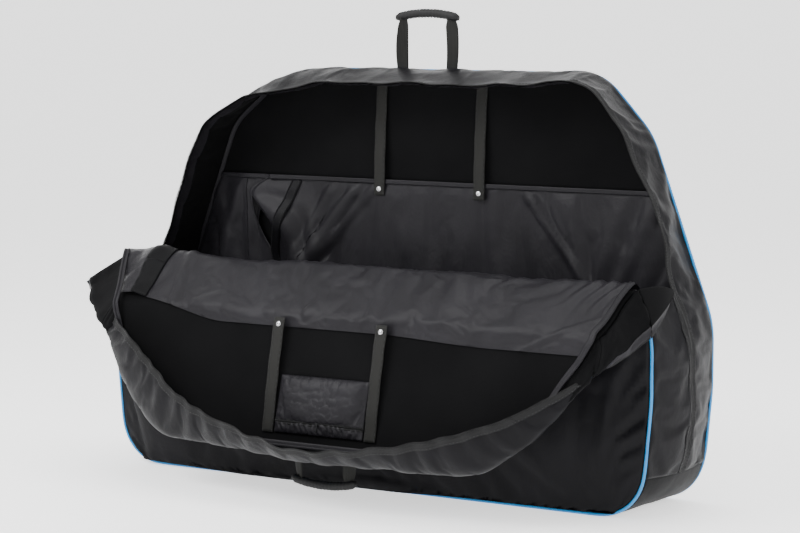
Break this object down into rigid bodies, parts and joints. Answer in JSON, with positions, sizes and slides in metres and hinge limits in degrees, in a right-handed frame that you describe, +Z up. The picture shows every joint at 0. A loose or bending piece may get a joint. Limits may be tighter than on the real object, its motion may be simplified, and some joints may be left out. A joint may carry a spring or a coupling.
{
  "type": "soft bike travel bag",
  "caption": "Soft padded travel bag for a bicycle, open, with a zipped flap that folds out and down, wheel pockets, snap straps and two handles.",
  "frame": {"origin": "centre of the base's flat underside", "axes": "+X along the bag's length, +Y towards the rear wall, +Z up"},
  "size_m": [1.3858, 0.5316, 0.931],
  "materials": {
    "outer_nylon": "coated black nylon, satin",
    "inner_nylon": "thin charcoal nylon, slight sheen",
    "foam": "matte black foam-backed cloth",
    "webbing": "woven dark grey webbing",
    "piping": "bright blue piping",
    "zip_tape": "black zip tape with coil teeth",
    "slider_metal": "black painted metal",
    "snap_metal": "bright metal",
    "grip_rubber": "ribbed black rubber",
    "base_board": "matte board"
  },
  "bodies": {
    "shell": {"base_fabric": "outer_nylon", "base_board": "base_board", "base_pad": "foam", "rear_wall_fabric": "outer_nylon", "rear_wall_foam": "foam", "rear_wheel_pocket": "inner_nylon", "rear_gusset": "outer_nylon", "rear_lining": "foam", "rear_zip_tape": "zip_tape", "rear_piping": "piping", "front_wall_fabric": "outer_nylon", "front_wall_foam": "foam", "front_wheel_pocket": "inner_nylon", "front_gusset_right": "outer_nylon", "front_gusset_left": "outer_nylon", "front_zip_tape_right": "zip_tape", "front_zip_tape_left": "zip_tape", "front_piping": "piping", "fold_sleeve": "inner_nylon", "rear_snap_stud_right": "snap_metal", "rear_snap_stud_left": "snap_metal"},
    "flap_root": {"flap_root_fabric": "outer_nylon", "flap_root_foam": "foam", "flap_root_pocket": "inner_nylon", "flap_root_piping_right": "piping", "flap_root_piping_left": "piping"},
    "flap_tip": {"flap_tip_fabric": "outer_nylon", "flap_tip_foam": "foam", "flap_tip_pocket": "inner_nylon", "flap_tip_gusset": "outer_nylon", "flap_tip_lining": "foam", "flap_tip_zip_tape": "zip_tape", "flap_tip_piping": "piping", "accessory_pocket": "inner_nylon", "front_snap_stud_right": "snap_metal", "front_snap_stud_left": "snap_metal"},
    "wing_right": {"flap_wing_right": "outer_nylon"},
    "wing_left": {"flap_wing_left": "outer_nylon"},
    "slider_right": {"zip_slider_right": "slider_metal"},
    "slider_left": {"zip_slider_left": "slider_metal"},
    "pull_right": {"zip_pull_right": "slider_metal"},
    "pull_left": {"zip_pull_left": "slider_metal"},
    "rear_strap_right": {"rear_strap_right": "webbing", "rear_snap_cap_right": "snap_metal"},
    "rear_strap_left": {"rear_strap_left": "webbing", "rear_snap_cap_left": "snap_metal"},
    "front_strap_right": {"front_strap_right": "webbing", "front_snap_cap_right": "snap_metal"},
    "front_strap_left": {"front_strap_left": "webbing", "front_snap_cap_left": "snap_metal"},
    "rear_handle": {"rear_handle_leg_right": "webbing", "rear_handle_leg_left": "webbing", "rear_handle_grip": "grip_rubber"},
    "front_handle": {"front_handle_leg_right": "webbing", "front_handle_leg_left": "webbing", "front_handle_grip": "grip_rubber"},
    "small_slider": {"accessory_slider": "slider_metal"},
    "small_pull": {"accessory_pull": "slider_metal"}
  },
  "joints": [
    {"name": "flap_fold", "type": "hinge", "parent": "shell", "child": "flap_root", "pos_m": [0, -0.12, 0.424], "axis": [1, 0, 0], "range_deg": [-127.5, 0], "deforming": ["fold_sleeve"]},
    {"name": "flap_tip_fold", "type": "hinge", "parent": "flap_root", "child": "flap_tip", "pos_m": [0, -0.22393, 0.34425], "axis": [1, 0, 0], "range_deg": [-38, 0]},
    {"name": "wing_right_fold", "type": "hinge", "parent": "flap_root", "child": "wing_right", "pos_m": [0.59175, -0.12441, 0.42893], "axis": [0.3497, 0.7433, 0.5703], "range_deg": [-105, 0]},
    {"name": "wing_left_fold", "type": "hinge", "parent": "flap_root", "child": "wing_left", "pos_m": [-0.59175, -0.12441, 0.42893], "axis": [0.3497, -0.7433, -0.5703], "range_deg": [-105, 0]},
    {"name": "zip_right_slide", "type": "slide", "parent": "shell", "child": "slider_right", "axis": [-0.3497, 0, 0.9369], "range_m": [0, 0.26]},
    {"name": "zip_left_slide", "type": "slide", "parent": "shell", "child": "slider_left", "axis": [0.3497, 0, 0.9369], "range_m": [0, 0.26]},
    {"name": "zip_right_pull", "type": "hinge", "parent": "slider_right", "child": "pull_right", "pos_m": [0.60425, 0, 0.40917], "axis": [0, -1, 0], "range_deg": [0, 150]},
    {"name": "zip_left_pull", "type": "hinge", "parent": "slider_left", "child": "pull_left", "pos_m": [-0.60425, 0, 0.40917], "axis": [0, 1, 0], "range_deg": [0, 150]},
    {"name": "rear_strap_right_swing", "type": "hinge", "parent": "shell", "child": "rear_strap_right", "pos_m": [0.118, 0.1114, 0.783], "axis": [-1, 0, 0], "range_deg": [0, 70]},
    {"name": "rear_strap_left_swing", "type": "hinge", "parent": "shell", "child": "rear_strap_left", "pos_m": [-0.118, 0.1114, 0.783], "axis": [-1, 0, 0], "range_deg": [0, 70]},
    {"name": "front_strap_right_swing", "type": "hinge", "parent": "flap_tip", "child": "front_strap_right", "pos_m": [0.118, -0.28934, 0.12567], "axis": [1, 0, 0], "range_deg": [0, 75]},
    {"name": "front_strap_left_swing", "type": "hinge", "parent": "flap_tip", "child": "front_strap_left", "pos_m": [-0.118, -0.28934, 0.12567], "axis": [1, 0, 0], "range_deg": [0, 75]},
    {"name": "rear_handle_swing", "type": "hinge", "parent": "shell", "child": "rear_handle", "pos_m": [-0.018, 0.12155, 0.79], "axis": [-1, 0, 0], "range_deg": [0, 165]},
    {"name": "front_handle_swing", "type": "hinge", "parent": "flap_tip", "child": "front_handle", "pos_m": [0, -0.26925, 0.16282], "axis": [1, 0, 0], "range_deg": [-11, 60]},
    {"name": "accessory_zip_slide", "type": "slide", "parent": "flap_tip", "child": "small_slider", "axis": [1, 0, 0], "range_m": [-0.07, 0.07]},
    {"name": "accessory_pull_swing", "type": "hinge", "parent": "small_slider", "child": "small_pull", "pos_m": [0, -0.29426, 0.15276], "axis": [-1, 0, 0], "range_deg": [0, 150]}
  ],
  "couplings": [
    {"joint": "wing_right_fold", "follows": "flap_fold", "ratio": 0.8235},
    {"joint": "wing_left_fold", "follows": "flap_fold", "ratio": 0.8235}
  ]
}
